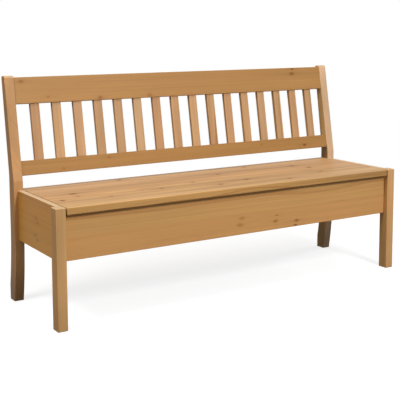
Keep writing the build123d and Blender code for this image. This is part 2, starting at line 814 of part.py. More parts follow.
print(f"{node_count} nodes, {fixed_slat_count} fixed and {len(moving_slat_xs)} moving bed slats")
print(f"back rake {degrees(rake):.3f} deg, pull-out travel {pull_out_travel:.3f} mm")
print(f"lid pivot y {pivot_y:.3f} z {pivot_z:.3f}")
print(f"leg pivot x {leg_pivot_x:.3f} z {leg_pivot_z:.3f}, y {leg_front_y:.3f} to {leg_rear_y:.3f}")
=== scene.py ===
# %% [markdown]
# # A solid pine chest bench with a pull-out bed
# A joiner's parts come in as they are: every post, rail, board, slat and screw has its real size
# and place, in metres, with X along the bench, -Y its front and Z up. Nothing is moved or
# reshaped here. What is left is the finisher's work, the grain, knots, stain and wax of the
# timber and the plating of the fittings, and then a plain floor and soft light to see it by.

# %% Load the bench
import math
from functools import partial

import bmesh
import bpy
from mathutils import Matrix, Vector


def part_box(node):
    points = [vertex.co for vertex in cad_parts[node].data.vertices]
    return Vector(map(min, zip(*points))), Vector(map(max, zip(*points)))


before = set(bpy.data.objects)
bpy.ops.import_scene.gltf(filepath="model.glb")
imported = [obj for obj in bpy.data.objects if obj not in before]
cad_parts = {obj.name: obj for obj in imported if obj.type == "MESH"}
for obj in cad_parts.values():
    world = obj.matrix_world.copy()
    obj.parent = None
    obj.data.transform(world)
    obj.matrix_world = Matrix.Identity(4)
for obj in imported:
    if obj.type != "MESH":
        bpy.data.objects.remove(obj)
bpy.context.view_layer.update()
MM = 0.001

# %% [markdown]
# ## The camera
# A bench shows itself best from standing height, a few metres away and off to one side, where the
# front, one end and the seat are all in view. The lens is fairly long, which keeps the long
# front from bending away. The camera is turned to the right and tilted down a little, and its
# frame is shifted down, as an architect's lens does, which keeps the posts nearly upright.

# %% Set up the camera
CAMERA_PLACE = (-2.0557, -3.1981, 1.1107)
TURN_RIGHT = math.radians(32.068)
TILT_DOWN = math.radians(6.775)
ROLL = math.radians(-0.205)
LENS_MM = 79.905
FRAME_SHIFT = -0.17
MIDDLE_OF_SEAT = Vector((0, 0, 460 * MM))

camera = bpy.data.objects.new("camera", bpy.data.cameras.new("camera"))
bpy.context.scene.collection.objects.link(camera)
camera.matrix_world = (
    Matrix.Translation(CAMERA_PLACE)
    @ Matrix.Rotation(-TURN_RIGHT, 4, "Z")
    @ Matrix.Rotation(math.pi / 2 - TILT_DOWN, 4, "X")
    @ Matrix.Rotation(ROLL, 4, "Z")
)
camera.data.lens = LENS_MM
camera.data.shift_y = FRAME_SHIFT
bpy.context.scene.camera = camera
bpy.context.scene.view_settings.view_transform = "Standard"
print("camera stands", round((camera.location - MIDDLE_OF_SEAT).length, 2), "m from the seat")

# %% [markdown]
# ## One function for nodes, one for colours
# A material in Blender is a small network of nodes. Setting one up takes the same few moves each
# time: add it, choose how it works, feed its inputs, hand on its output. One function does that
# for every kind of node. Colours are written as the hex values that a paint chart gives, and one
# function turns them into the linear light values that the renderer reckons with.
# Most nodes here only reckon, so the settings that come back again and again have short names.

# %% Helpers for nodes and colours
PLUS = {"operation": "ADD"}
MINUS = {"operation": "SUBTRACT"}
TIMES = {"operation": "MULTIPLY"}
TIMES_PLUS = {"operation": "MULTIPLY_ADD"}
OVER = {"operation": "DIVIDE"}
SIZE_OF = {"operation": "ABSOLUTE"}
LARGER = {"operation": "MAXIMUM"}
SMALLER = {"operation": "MINIMUM"}
LENGTH = {"operation": "LENGTH"}
SMOOTH = {"interpolation_type": "SMOOTHSTEP"}
COLOURS = {"data_type": "RGBA"}


def add(tree, kind, settings=None, inputs=None):
    """Adds a node, sets it up, feeds its inputs by name or number and returns its first live output."""
    made = tree.nodes.new("ShaderNode" + kind)
    for name, value in (settings or {}).items():
        setattr(made, name, value)
    for key, value in (inputs or {}).items():
        if isinstance(key, str):
            socket = next(s for s in made.inputs if s.enabled and s.name == key)
        else:
            socket = made.inputs[key]
        if isinstance(value, bpy.types.NodeSocket):
            tree.links.new(value, socket)
        else:
            socket.default_value = value
    return next((s for s in made.outputs if s.enabled), None)


def colour(hex_code):
    """A paint chart's sRGB hex value as linear red, green, blue and full opacity."""
    parts = [int(hex_code[i : i + 2], 16) / 255 for i in (0, 2, 4)]
    return (*[p / 12.92 if p <= 0.04045 else ((p + 0.055) / 1.055) ** 2.4 for p in parts], 1.0)


def new_material(name):
    """An empty material and the function that adds nodes to it."""
    material = bpy.data.materials.new(name)
    material.use_nodes = True
    material.node_tree.nodes.clear()
    return material, partial(add, material.node_tree)


print("mid grey 808080 is", round(colour("808080")[0], 3), "in linear light")

# %% [markdown]
# ## The floor
# A furniture studio lays a wide pale floor that runs up into a white wall, and lights it until
# both turn white. So much light on the bench would wash out the wood, so here floor and wall are
# white only where the camera, or a reflection, looks at them. As a source of bounced light the
# floor is a dark grey, so that the legs under the chest stay dark. Near the bench the floor that
# is seen is a lit grey with a lift of its own light, which holds a soft shadow, and further out
# it fades into pure white.

# %% Make the floor
WHITE = (1.0, 1.0, 1.0, 1.0)
FLOOR_HALF_WIDTH = 40.0
FLOOR_DROP = 0.5 * MM
FLOOR_BOUNCE = "303030"
FLOOR_SEEN = "949494"
FLOOR_LIFT = 0.76
SHADOW_REACH = (1.3, 2.6)


def seen_directly(put):
    """1 for a ray from the camera, a reflection or through glass, and 0 for bounced light."""
    rays = put("LightPath").node.outputs
    shiny = put("Math", LARGER, {0: rays["Is Glossy Ray"], 1: rays["Is Transmission Ray"]})
    return put("Math", LARGER, {0: rays["Is Camera Ray"], 1: shiny})


floor_mesh = bpy.data.meshes.new("studio_floor")
sheet = bmesh.new()
bmesh.ops.create_grid(sheet, x_segments=1, y_segments=1, size=FLOOR_HALF_WIDTH)
bmesh.ops.translate(sheet, verts=sheet.verts, vec=(0, 0, -FLOOR_DROP))
sheet.to_mesh(floor_mesh)
sheet.free()
floor = bpy.data.objects.new("studio_floor", floor_mesh)
bpy.context.scene.collection.objects.link(floor)

floor_paint, put = new_material("pale_studio_floor")
bounce = put("BsdfDiffuse", {}, {"Color": colour(FLOOR_BOUNCE)})
lit_grey = put("BsdfDiffuse", {}, {"Color": colour(FLOOR_SEEN)})
lift = put("Emission", {}, {"Strength": FLOOR_LIFT})
near_bench = put("AddShader", {}, {0: lit_grey, 1: lift})
away = put("VectorMath", LENGTH, {0: put("TexCoord").node.outputs["Object"]})
far = put("MapRange", SMOOTH, {"Value": away, "From Min": SHADOW_REACH[0], "From Max": SHADOW_REACH[1]})
pure_white = put("Emission", {}, {"Color": WHITE, "Strength": 1.0})
seen_floor = put("MixShader", {}, {0: far, 1: near_bench, 2: pure_white})
shown = put("MixShader", {}, {0: seen_directly(put), 1: bounce, 2: seen_floor})
put("OutputMaterial", {}, {"Surface": shown})
floor_mesh.materials.append(floor_paint)
print("the floor holds a shadow out to", SHADOW_REACH[1], "m")

# %% [markdown]
# ## The glow from all round
# White walls and a white ceiling send light back too: faintly from every side, and more from
# straight above. Behind the bench the glow from above falls to half, which leaves the inner sides
# of the back legs in the shade. For the world, Generated coordinates give the direction looked
# in: their Z tells how far up that is, and their Y how far behind.

# %% Make the glow
GLOW_LEVEL = 0.06
GLOW_OVERHEAD = 0.8
GLOW_BEHIND = 0.5
GLOW_TURN = 0.3

world = bpy.data.worlds.new("white_studio")
world.use_nodes = True
world.node_tree.nodes.clear()
bpy.context.scene.world = world
put = partial(add, world.node_tree)
direction = put("SeparateXYZ", {}, {0: put("TexCoord").node.outputs["Generated"]}).node.outputs
upward = put("Math", LARGER, {0: direction["Z"], 1: 0.0})
turn = {"Value": direction["Y"], "From Min": -GLOW_TURN, "From Max": GLOW_TURN}
overhead = put("MapRange", SMOOTH, {**turn, "To Min": GLOW_OVERHEAD, "To Max": GLOW_OVERHEAD * GLOW_BEHIND})
strength = put("Math", TIMES_PLUS, {0: upward, 1: overhead, 2: GLOW_LEVEL})
glow = put("Background", {}, {"Color": WHITE, "Strength": strength})
wall = put("Background", {}, {"Color": WHITE, "Strength": 1.0})
put("OutputWorld", {}, {"Surface": put("MixShader", {}, {0: seen_directly(put), 1: glow, 2: wall})})
print("the glow is", round(GLOW_LEVEL + GLOW_OVERHEAD, 2), "overhead in front,", GLOW_LEVEL, "at the horizon")

# %% [markdown]
# ## Five lamps
# One large soft lamp stands in front, high up, and lights the seat, the front board and the back.
# One high on the left lights the end panel and the sides of the slats. A weak one low in front
# keeps the legs and the line under the lid from going black. Weaker ones at the right end and
# behind are for someone who walks round the bench. Only the two high lamps make a gleam, because
# a waxed face would show each of the others as a pale patch of its own.

# %% Place the lamps
LAMP_AIM = Vector((0, 0, 0.4))


def lamp(name, place, size, watts, shine=True):
    """A square soft lamp that faces the middle of the bench; without shine it makes no gleam."""
    light = bpy.data.lights.new(name, "AREA")
    light.size = size
    light.energy = watts
    stand = bpy.data.objects.new(name, light)
    stand.location = place
    stand.rotation_mode = "QUATERNION"
    stand.rotation_quaternion = (LAMP_AIM - Vector(place)).to_track_quat("-Z", "Y")
    stand.visible_camera = False
    stand.visible_glossy = shine
    bpy.context.scene.collection.objects.link(stand)
    print(name, size, "m wide,", watts, "W")


lamp("key_lamp", (0.2, -5.1, 4.0), 1.3, 280)
lamp("fill_lamp", (0.3, -5.0, 0.5), 1.0, 20, shine=False)
lamp("left_lamp", (-2.9, -0.6, 3.8), 1.2, 98)
lamp("right_lamp", (3.8, 0.2, 1.6), 1.2, 30, shine=False)
lamp("back_lamp", (0.6, 4.4, 0.7), 1.0, 85, shine=False)

# %% [markdown]
# ## How a pine board gets its figure
# A trunk is a stack of thin cones: each year adds a pale, soft layer of spring wood and a narrow,
# dark, hard layer of summer wood. A board is a flat cut through those layers, so its figure is
# not a picture laid on its face but what the saw happened to meet. The nodes below do the same.
# They measure how far each point lies from the middle of the tree, the pith, which runs along the
# board somewhere below its face, and that distance counts the years. Because the pattern is
# solid, the arches on a face run on over its edges and end as rings on the end grain.

# %% Directions in a board
AXES = "XYZ"


def board_directions(put, node, grain, face, lean, pair):
    """Where a point lies along, across and into a board, the board's middle, and its end of the bench.

    All are in metres. A pair of parts shares one material, whose X counts outwards from the middle
    of the bench, so that the two are alike but for their luck.
    """
    place = put("TexCoord").node.outputs["Object"]
    upright = put("VectorRotate", {"rotation_type": "X_AXIS"}, {"Vector": place, "Angle": lean})
    parts = put("SeparateXYZ", {}, {0: upright}).node.outputs
    measured = {axis: parts[axis] for axis in AXES}
    depth = next(axis for axis in AXES if axis not in (grain, face))
    low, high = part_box(node)
    middle = dict(zip(AXES, Matrix.Rotation(lean, 3, "X") @ ((low + high) / 2)))
    end = 0.0
    if pair:
        measured["X"] = put("Math", SIZE_OF, {0: parts["X"]})
        middle["X"] = abs(middle["X"])
        end = put("Math", {"operation": "SIGN"}, {0: parts["X"]})
    return (measured[grain], measured[face], measured[depth]), (middle[face], middle[depth]), end


print("a board is read along its grain, across its face and into its depth")

# %% [markdown]
# ## Every strip has its own luck
# Pine furniture is glued up from strips, and every strip comes from another tree. So each strip
# and each slat gets its own luck, three numbers that choose its pith, its stretch of trunk and
# its tone. White noise gives them: the same strip number always gets the same three. The glue
# joint between two strips shows as a hair line.

# %% The luck of a strip
JOINT_LINE = 0.9 * MM


def luck_of_the_board(put, across, middle, end, strips, seed):
    """The luck of a strip as three numbers and as one vector, the strip's middle and its joints."""
    number, centre, joint = 0.0, middle, 0.0
    if strips:
        start, width = strips
        count = put("Math", MINUS, {0: across, 1: start})
        count = put("Math", OVER, {0: count, 1: width})
        number = put("Math", {"operation": "FLOOR"}, {0: count})
        centre = put("Math", TIMES_PLUS, {0: number, 1: width, 2: start + width / 2})
        to_joint = put("Math", {"operation": "PINGPONG"}, {0: count, 1: 0.5})
        line = {"Value": to_joint, "From Max": JOINT_LINE / width, "To Min": 1.0, "To Max": 0.0}
        joint = put("MapRange", {}, line)
    label = put("CombineXYZ", {}, {0: number, 1: end, 2: float(seed)})
    luck = put("TexWhiteNoise", {"noise_dimensions": "3D"}, {"Vector": label}).node.outputs["Color"]
    return put("SeparateXYZ", {}, {0: luck}).node.outputs, luck, centre, joint


print("a glue joint shows as a line", JOINT_LINE / MM, "mm to each side")

# %% [markdown]
# ## Faces, tops, corners and feet
# The colour differs from place to place on one piece of wood. End grain drinks more stain.
# The narrow sides get painted shading, deeper in colour and darker or lighter than the faces, and
# faces that look up get a painted highlight. The inner side of a back post between seat and lower
# rail gets painted shade, and painted shade darkens a post towards the floor. The nodes tell these
# places from the direction that a face looks in and from the height above the floor.

# %% Places on a piece of wood
SQUARE_ON = (0.7, 0.95)
LOOKS_UP = (0.1, 0.6)
CORNER_HEIGHT = 488 * MM
CORNER_REACH = 28 * MM
FOOT_REACH = 220 * MM


def looks_in(put, axis):
    """How far the direction that a face looks in goes along an axis, from -1 to 1."""
    return put("SeparateXYZ", {}, {0: put("TexCoord").node.outputs["Normal"]}).node.outputs[axis]


def height_above_floor(put):
    """The height of a point, in metres."""
    return put("SeparateXYZ", {}, {0: put("TexCoord").node.outputs["Object"]}).node.outputs["Z"]


def turned_to(put, axis):
    """1 where a face is square to the axis, either way round, and 0 where it lies along it."""
    either_way = put("Math", SIZE_OF, {0: looks_in(put, axis)})
    return put("MapRange", SMOOTH, {"Value": either_way, "From Min": SQUARE_ON[0], "From Max": SQUARE_ON[1]})


def turned_up(put):
    """1 where a face looks up, and 0 where it is upright or looks down."""
    upward = looks_in(put, "Z")
    return put("MapRange", SMOOTH, {"Value": upward, "From Min": LOOKS_UP[0], "From Max": LOOKS_UP[1]})


def in_the_corner(put, inward):
    """1 where shade is painted, on a back post's inner side between seat and lower rail, and 0 elsewhere."""
    away = put("Math", MINUS, {0: height_above_floor(put), 1: CORNER_HEIGHT})
    away = put("Math", SIZE_OF, {0: away})
    reach = {"From Min": CORNER_REACH, "From Max": 2 * CORNER_REACH, "To Min": 1.0, "To Max": 0.0}
    near = put("MapRange", SMOOTH, {"Value": away, **reach})
    inner = put("Math", {**TIMES, "use_clamp": True}, {0: looks_in(put, "X"), 1: inward})
    return put("Math", TIMES, {0: near, 1: inner})


def towards_the_floor(put, level):
    """Painted shade as a colour factor: the level at the bottom of a post, and 1 from a hand's length above
    it.
    """
    reach = {"From Min": 0.0, "From Max": FOOT_REACH, "To Min": level, "To Max": 1.0}
    return put("MapRange", SMOOTH, {"Value": height_above_floor(put), **reach})


print("feet darken over", round(FOOT_REACH / MM), "mm")

# %% [markdown]
# ## Knots
# A knot is a branch that the trunk grew round. The fibres part before it and close behind it, and
# the wood there is denser, which shows as a darker tail at either side. The branch itself is a
# dark plug. Where the saw cut it at a slant it is longer along the grain than across, which is its
# stretch. Distances from a knot are counted in its radii, so one recipe serves large and small.
# The grain is bent by squeezing the board's own measure towards the knot, so that the years flow
# round it.

# %% What every knot has
KNOT_REACH = 3.4
KNOT_BEND = 0.80
KNOT_TAIL = 5.0
TAIL_REACH = 2.2
PLUG_EDGE = (0.75, 1.2)


def knot_pull(put, away, bend):
    """How strongly a point is drawn towards a knot: bend at its middle, 0 beyond its reach."""
    reach = {"Value": away, "From Max": KNOT_REACH, "To Min": bend, "To Max": 0.0}
    return put("MapRange", {"interpolation_type": "SMOOTHERSTEP"}, reach)


def knot_plug(put, away, darkness):
    """The plug, as dark as it is told, with a soft edge."""
    edge = {"From Min": PLUG_EDGE[0], "From Max": PLUG_EDGE[1], "To Min": darkness, "To Max": 0.0}
    return put("MapRange", SMOOTH, {"Value": away, **edge})


def knot_tail(put, offset, darkness):
    """The dense, darker wood before and behind a knot."""
    drawn_out = put("VectorMath", TIMES, {0: offset, 1: (1 / KNOT_TAIL, 1.0, 0.0)})
    away = put("VectorMath", LENGTH, {0: drawn_out})
    return put("MapRange", SMOOTH, {"Value": away, "From Max": TAIL_REACH, "To Min": darkness, "To Max": 0.0})


print("knots bend the grain out to", KNOT_REACH, "radii")

# %% [markdown]
# ## Listed and scattered knots
# On the boards that the eye rests on, each knot is listed: its place along and across the board
# and its radius, in millimetres, and how dark it is. The other boards get one knot of random size
# somewhere in each cell of a wide grid, which is what a cell pattern, or Voronoi texture, finds.

# %% Two ways to place knots
NO_KNOT = 9.0
KNOT_CELL = (0.34, 0.09)
KNOT_SIZES = (2.0 * MM, 9.0 * MM)
KNOT_LUCK = 7.0
SCATTERED_PLUG = 0.9
SCATTERED_TAIL = 0.8


def listed_knots(put, along, across, knots, stretch):
    """The bent measure across the board, the plugs, the distance to the nearest knot and the tails."""
    here = put("CombineXYZ", {}, {0: along, 1: across})
    bent, plugs, nearest, tails = across, 0.0, NO_KNOT, 0.0
    for knot_along, knot_across, radius, darkness in knots:
        centre = (knot_along * MM, knot_across * MM, 0.0)
        scale = (1 / (radius * stretch * MM), 1 / (radius * MM), 0.0)
        offset = put("VectorMath", MINUS, {0: here, 1: centre})
        offset = put("VectorMath", TIMES, {0: offset, 1: scale})
        away = put("VectorMath", LENGTH, {0: offset})
        sideways = put("Math", MINUS, {0: centre[1], 1: across})
        bent = put("Math", TIMES_PLUS, {0: sideways, 1: knot_pull(put, away, KNOT_BEND), 2: bent})
        plugs = put("Math", LARGER, {0: plugs, 1: knot_plug(put, away, darkness)})
        nearest = put("Math", SMALLER, {0: nearest, 1: away})
        tails = put("Math", LARGER, {0: tails, 1: knot_tail(put, offset, darkness)})
    return bent, plugs, nearest, tails


def scattered_knots(put, along, across, luck, stretch):
    """The same four, with one knot somewhere in each cell."""
    cell = (*KNOT_CELL, 1.0)
    here = put("CombineXYZ", {}, {0: along, 1: across})
    shifted = put("VectorMath", TIMES_PLUS, {0: luck, 1: (KNOT_LUCK, 0.0, 0.0), 2: here})
    scaled = put("VectorMath", OVER, {0: shifted, 1: cell})
    found = put("TexVoronoi", {"voronoi_dimensions": "2D"}, {"Vector": scaled, "Scale": 1.0}).node.outputs
    offset = put("VectorMath", MINUS, {0: scaled, 1: found["Position"]})
    offset = put("VectorMath", TIMES, {0: offset, 1: (*KNOT_CELL, 0.0)})
    chance = put("SeparateXYZ", {}, {0: found["Color"]})
    radius = put("MapRange", {}, {"Value": chance, "To Min": KNOT_SIZES[0], "To Max": KNOT_SIZES[1]})
    long_radius = put("Math", TIMES, {0: radius, 1: stretch})
    sizes = put("CombineXYZ", {}, {0: long_radius, 1: radius, 2: 1.0})
    in_radii = put("VectorMath", OVER, {0: offset, 1: sizes})
    away = put("VectorMath", LENGTH, {0: in_radii})
    sideways = put("SeparateXYZ", {}, {0: offset}).node.outputs["Y"]
    bent = put("Math", TIMES_PLUS, {0: sideways, 1: knot_pull(put, away, -KNOT_BEND), 2: across})
    return bent, knot_plug(put, away, SCATTERED_PLUG), away, knot_tail(put, in_radii, SCATTERED_TAIL)


print("scattered knots: one in each", [round(size / MM) for size in KNOT_CELL], "mm")

# %% [markdown]
# ## Years
# The years are the arches and lines of summer wood, 5 or 6 mm apart in the trunk and wider where
# the face cuts them at a slant. A trunk isn't straight: it drifts off its line over a metre and
# sways over a hand's breadth, so the distance to its pith gets two pieces of noise. Good years
# and lean ones follow each other, so the count is stretched a little. In each year the wood
# darkens slowly through the summer and turns pale at once after the winter, and only a strong
# year has a dark line.

# %% Growth rings
PITH_LUCK = 35 * MM
TRUNK_LUCK = 40.0
DRIFT_SCALE = 1.3
SWAY_SCALE = (2.2, 12.0, 12.0)
LEAN_YEARS_SCALE = 45.0
LEAN_YEARS = 3.0
SUMMER = (0.35, 0.88)
WINTER = (0.9, 1.0)
VIGOUR_POWER = 3.0
WEAKEST_YEAR = 0.12


def distance_to_pith(put, along, across, into, centre, luck, look):
    """How far a point is from the middle of its tree, and its place on the trunk."""
    wander = {0: luck["X"], 1: look["wander"], 2: look["aside"] - look["wander"] / 2}
    pith_across = put("Math", PLUS, {0: put("Math", TIMES_PLUS, wander), 1: centre[0]})
    pith_into = put("Math", TIMES_PLUS, {0: luck["Y"], 1: PITH_LUCK, 2: centre[1] + look["pith"]})
    side = put("Math", MINUS, {0: across, 1: pith_across})
    down = put("Math", MINUS, {0: into, 1: pith_into})
    radius = put("VectorMath", LENGTH, {0: put("CombineXYZ", {}, {0: side, 1: down})})
    along = put("Math", TIMES_PLUS, {0: luck["Z"], 1: TRUNK_LUCK, 2: along})
    drift = put("TexNoise", {"noise_dimensions": "1D"}, {"W": along, "Scale": DRIFT_SCALE, "Detail": 1.0})
    radius = put("Math", TIMES_PLUS, {0: drift, 1: look["drift"], 2: radius})
    place = put("CombineXYZ", {}, {0: along, 1: across, 2: into})
    stretched = put("VectorMath", TIMES, {0: place, 1: SWAY_SCALE})
    sway = put("TexNoise", {}, {"Vector": stretched, "Scale": 1.0, "Detail": 2.0})
    return put("Math", TIMES_PLUS, {0: sway, 1: look["sway"], 2: radius}), place


def summer_wood(put, radius, ring):
    """How much of a point is summer wood, from 0 to 1."""
    steady = {"W": radius, "Scale": LEAN_YEARS_SCALE, "Detail": 1.0}
    lean = put("TexNoise", {"noise_dimensions": "1D"}, steady)
    years = put("Math", OVER, {0: radius, 1: ring})
    years = put("Math", TIMES_PLUS, {0: lean, 1: LEAN_YEARS, 2: years})
    season = put("Math", {"operation": "FRACT"}, {0: years})
    summer = put("MapRange", SMOOTH, {"Value": season, "From Min": SUMMER[0], "From Max": SUMMER[1]})
    stop = {"From Min": WINTER[0], "From Max": WINTER[1], "To Min": 1.0, "To Max": 0.0}
    late = put("Math", TIMES, {0: summer, 1: put("MapRange", SMOOTH, {"Value": season, **stop})})
    year = put("Math", {"operation": "FLOOR"}, {0: years})
    vigour = put("TexWhiteNoise", {"noise_dimensions": "1D"}, {"W": year})
    vigour = put("Math", {"operation": "POWER"}, {0: vigour, 1: VIGOUR_POWER})
    vigour = put("MapRange", {}, {"Value": vigour, "To Min": WEAKEST_YEAR, "To Max": 1.0})
    return put("Math", TIMES, {0: late, 1: vigour})


print("years are counted from the middle of the tree")

# %% [markdown]
# ## Fibres, streaks, bands and clouds
# Over the years lie marks that all run with the grain, each one noise that is drawn out along it.
# Clouds are patches where the stain sank in more or less, a hand wide and two long. Bands are two
# or three fingers wide and streaks about one, and both run on for about a metre. Fibres are a
# hair wide in real pine. Here they are drawn about 2 mm wide, because a finer line wouldn't
# show at the distance that a bench is looked at from. Their scales are in marks per metre.

# %% Marks along the grain
NOISE_RANGE = (0.25, 0.75)
NOISE_ROUGHNESS = 0.55
FIBRE_SCALE = (7.0, 420.0, 420.0)
CLOUD_SCALE = (2.4, 8.0, 8.0)
STREAKS_PER_METRE_ALONG = 1.3
BANDS_PER_METRE_ALONG = 0.9


def stretched_noise(put, place, scale, detail, low, high):
    """Noise drawn out along the grain, as a factor from low to high."""
    stretched = put("VectorMath", TIMES, {0: place, 1: scale})
    grit = {"Scale": 1.0, "Detail": detail, "Roughness": NOISE_ROUGHNESS}
    noise = put("TexNoise", {}, {"Vector": stretched, **grit})
    between = {"From Min": NOISE_RANGE[0], "From Max": NOISE_RANGE[1], "To Min": low, "To Max": high}
    return put("MapRange", {}, {"Value": noise, **between})


print("fibres are drawn", round(1 / FIBRE_SCALE[1] / MM, 1), "mm wide")

# %% [markdown]
# ## Planed pine and waxed pine
# The bench is Scots pine. Inside it is planed and left bare, and has only darkened a little with
# the years. Outside it was sanded, stained a light honey and waxed, which makes it browner and
# gives it a satin sheen. A look is a list of all that can differ from one board to the next. The
# stain is a colour that is laid over the wood's own.

# %% Two looks for pine
PLANED = {
    # Spring and summer wood, the tones that a strip may lean to, and the stain over them all
    "early": "EBD2A6", "late": "B98450", "pale": "F4E4C4", "rosy": "E2B690", "stain": "E6D6C2",
    # How clearly the years and the strips' own tones show
    "contrast": 0.8, "tone": 0.40,
    # The years' width, how deep and how far aside the pith lies, and how far it wanders, drifts and sways
    "ring": 5.0 * MM, "pith": 38 * MM, "aside": 70 * MM, "wander": 110 * MM, "drift": 24 * MM, "sway": 7 * MM,
    # Strength of the marks, and how many streaks and bands lie side by side in a metre
    "streaks": 0.12, "streak_scale": 70.0, "bands": 0.08, "band_scale": 28.0, "clouds": 0.06,
    # A knot's plug, rim and halo, and its stretch
    "knot": "84501C", "knot_rim": "361A06", "knot_halo": "95561A", "knot_stretch": 1.15,
    # Narrow sides: painted shading, how much deeper in colour and how bright; rounded edges: how bright
    "flank": (1.0, 1.0), "edge": 1.12,
    # Upward faces: how strong a painted highlight, and its colour; painted shade: how bright a foot is, a
    # corner's side and level
    "rubbed": 0.0, "rubbed_pale": "C0A582", "foot": 1.0, "corner": 0.0, "corner_level": 0.36,
    # How rough the spring wood is
    "rough": 0.66,
}
WAXED = {**PLANED, "stain": "CFAE85", "rough": 0.52}
print("a look has", len(PLANED), "values")

# %% [markdown]
# ## The colour of the wood
# Colour is built up as it comes about. First come the years, mixed from spring and summer wood,
# and then the strip's own tone. After them comes all that makes the wood lighter or darker:
# fibres, streaks, clouds, bands, the tails of knots, glue joints and end grain.

# %% Colour of the bare wood
EVEN_SHADE = 0.985
FIBRE_SHADE = 0.07
TAIL_SHADE = -0.16
JOINT_SHADE = -0.12
END_GRAIN_SHADE = -0.10


def colour_of_the_years(put, late, luck, look):
    """Spring and summer wood, leaning to the strip's own tone."""
    wood = colour(look["early"])
    for share, strength, tone in (
        (late, look["contrast"], look["late"]),
        (luck["X"], look["tone"], look["pale"]),
        (luck["Y"], look["tone"], look["rosy"]),
    ):
        amount = put("Math", TIMES, {0: share, 1: strength})
        wood = put("Mix", COLOURS, {"Factor": amount, "A": wood, "B": colour(tone)})
    return wood


def shaded(put, wood, marks, look):
    """The wood made lighter or darker by its marks."""
    shade = EVEN_SHADE - look["streaks"] / 2
    for mark, strength in (
        ("fibre", FIBRE_SHADE),
        ("streak", look["streaks"]),
        ("cloud", -look["clouds"]),
        ("band", look["bands"]),
        ("tails", TAIL_SHADE),
        ("joint", JOINT_SHADE),
        ("end_grain", END_GRAIN_SHADE),
    ):
        shade = put("Math", TIMES_PLUS, {0: marks[mark], 1: strength, 2: shade})
    return put("HueSaturation", {}, {"Value": shade, "Color": wood})


print("end grain is", round(-100 * END_GRAIN_SHADE), "percent darker than a face")

# %% [markdown]
# ## Stain, wear, painted shade and painted highlight
# The stain is multiplied over the wood, because a stain is clear and lets light through twice.
# Then the narrow sides get painted shading, and the bottoms of the posts and the inner sides of the
# back posts below the lower rail get painted shade. Edges are rounded off by hand and by use. The
# Bevel node turns the normal there, and the same bend tells where the stain is rubbed thin, so that
# edges are a little paler. Faces that look up get a painted highlight.

# %% Stain, wear, painted shade and painted highlight
EDGE_BEND = (0.7, 0.995)


def stained(put, wood, face, look):
    """The wood under its stain, with painted shading on narrow sides and painted shade near the floor and
    below a rail.
    """
    # painted shading on the narrow sides: another saturation and brightness there
    deeper, level = look["flank"]
    flank = {"Saturation": deeper, "Value": level, "Fac": turned_to(put, face)}
    wood = put("HueSaturation", {}, {**flank, "Color": wood})
    stain = {"Factor": 1.0, "A": wood, "B": colour(look["stain"])}
    wood = put("Mix", {**COLOURS, "blend_type": "MULTIPLY"}, stain)
    # painted shade that darkens towards the floor
    if look["foot"] < 1.0:
        wood = put("HueSaturation", {}, {"Value": towards_the_floor(put, look["foot"]), "Color": wood})
    if look["corner"]:
        # painted shade on a back post's inner side between the seat and the lower rail
        gathered = in_the_corner(put, look["corner"])
        wood = put("HueSaturation", {}, {"Value": look["corner_level"], "Fac": gathered, "Color": wood})
    return wood


def worn(put, wood, rounded, look):
    """The wood with paler worn edges, and with a painted highlight on faces that look up."""
    flat = put("NewGeometry").node.outputs["Normal"]
    bend = put("VectorMath", {"operation": "DOT_PRODUCT"}, {0: rounded, 1: flat})
    thin = {"From Min": EDGE_BEND[0], "From Max": EDGE_BEND[1], "To Min": look["edge"], "To Max": 1.0}
    wood = put("HueSaturation", {}, {"Value": put("MapRange", {}, {"Value": bend, **thin}), "Color": wood})
    # a painted highlight on faces that look up
    rubbed = put("Math", TIMES, {0: turned_up(put), 1: look["rubbed"]})
    return put("Mix", COLOURS, {"Factor": rubbed, "A": wood, "B": colour(look["rubbed_pale"])})


print("edges are up to", round(100 * PLANED["edge"] - 100), "percent brighter than faces")

# %% [markdown]
# ## The colour of a knot
# The branch had years of its own, so its plug has fine rings. Its heart is dark, and so is its rim,
# where bark was grown in. Round it lies a halo of dense, resinous wood. No knot is truly round,
# so a little noise is added to the distance before the rings are drawn.

# %% Colour of a knot
HALO_REACH = (0.9, 2.4)
HALO_STRENGTH = 0.3
RAGGED_SCALE = (160.0, 160.0, 160.0)
RAGGED = 0.12
PLUG_RING = 0.16
PLUG_RING_STRENGTH = 2.6
PLUG_RIM = (0.62, 0.95)
PLUG_HEART = (0.1, 0.6)
HEART_STRENGTH = 0.7


def knotted(put, wood, place, nearest, plugs, look):
    """The wood with its knots: the halo, the plug with its rings and heart, and the rim."""
    halo = {"From Min": HALO_REACH[0], "From Max": HALO_REACH[1], "To Min": HALO_STRENGTH, "To Max": 0.0}
    halo = put("MapRange", SMOOTH, {"Value": nearest, **halo})
    wood = put("Mix", COLOURS, {"Factor": halo, "A": wood, "B": colour(look["knot_halo"])})
    ragged = stretched_noise(put, place, RAGGED_SCALE, 2.0, -RAGGED, RAGGED)
    ragged = put("Math", PLUS, {0: nearest, 1: ragged})
    rings = put("Math", {"operation": "PINGPONG"}, {0: ragged, 1: PLUG_RING})
    rings = put("Math", TIMES, {0: rings, 1: PLUG_RING_STRENGTH})
    rim = put("MapRange", SMOOTH, {"Value": ragged, "From Min": PLUG_RIM[0], "From Max": PLUG_RIM[1]})
    heart = {"From Min": PLUG_HEART[0], "From Max": PLUG_HEART[1], "To Min": HEART_STRENGTH, "To Max": 0.0}
    heart = put("MapRange", SMOOTH, {"Value": ragged, **heart})
    dark = put("Math", LARGER, {0: put("Math", LARGER, {0: rings, 1: rim}), 1: heart})
    plug = put("Mix", COLOURS, {"Factor": dark, "A": colour(look["knot"]), "B": colour(look["knot_rim"])})
    return put("Mix", COLOURS, {"Factor": plugs, "A": wood, "B": plug})


print("a plug has a ring every", PLUG_RING, "radii")

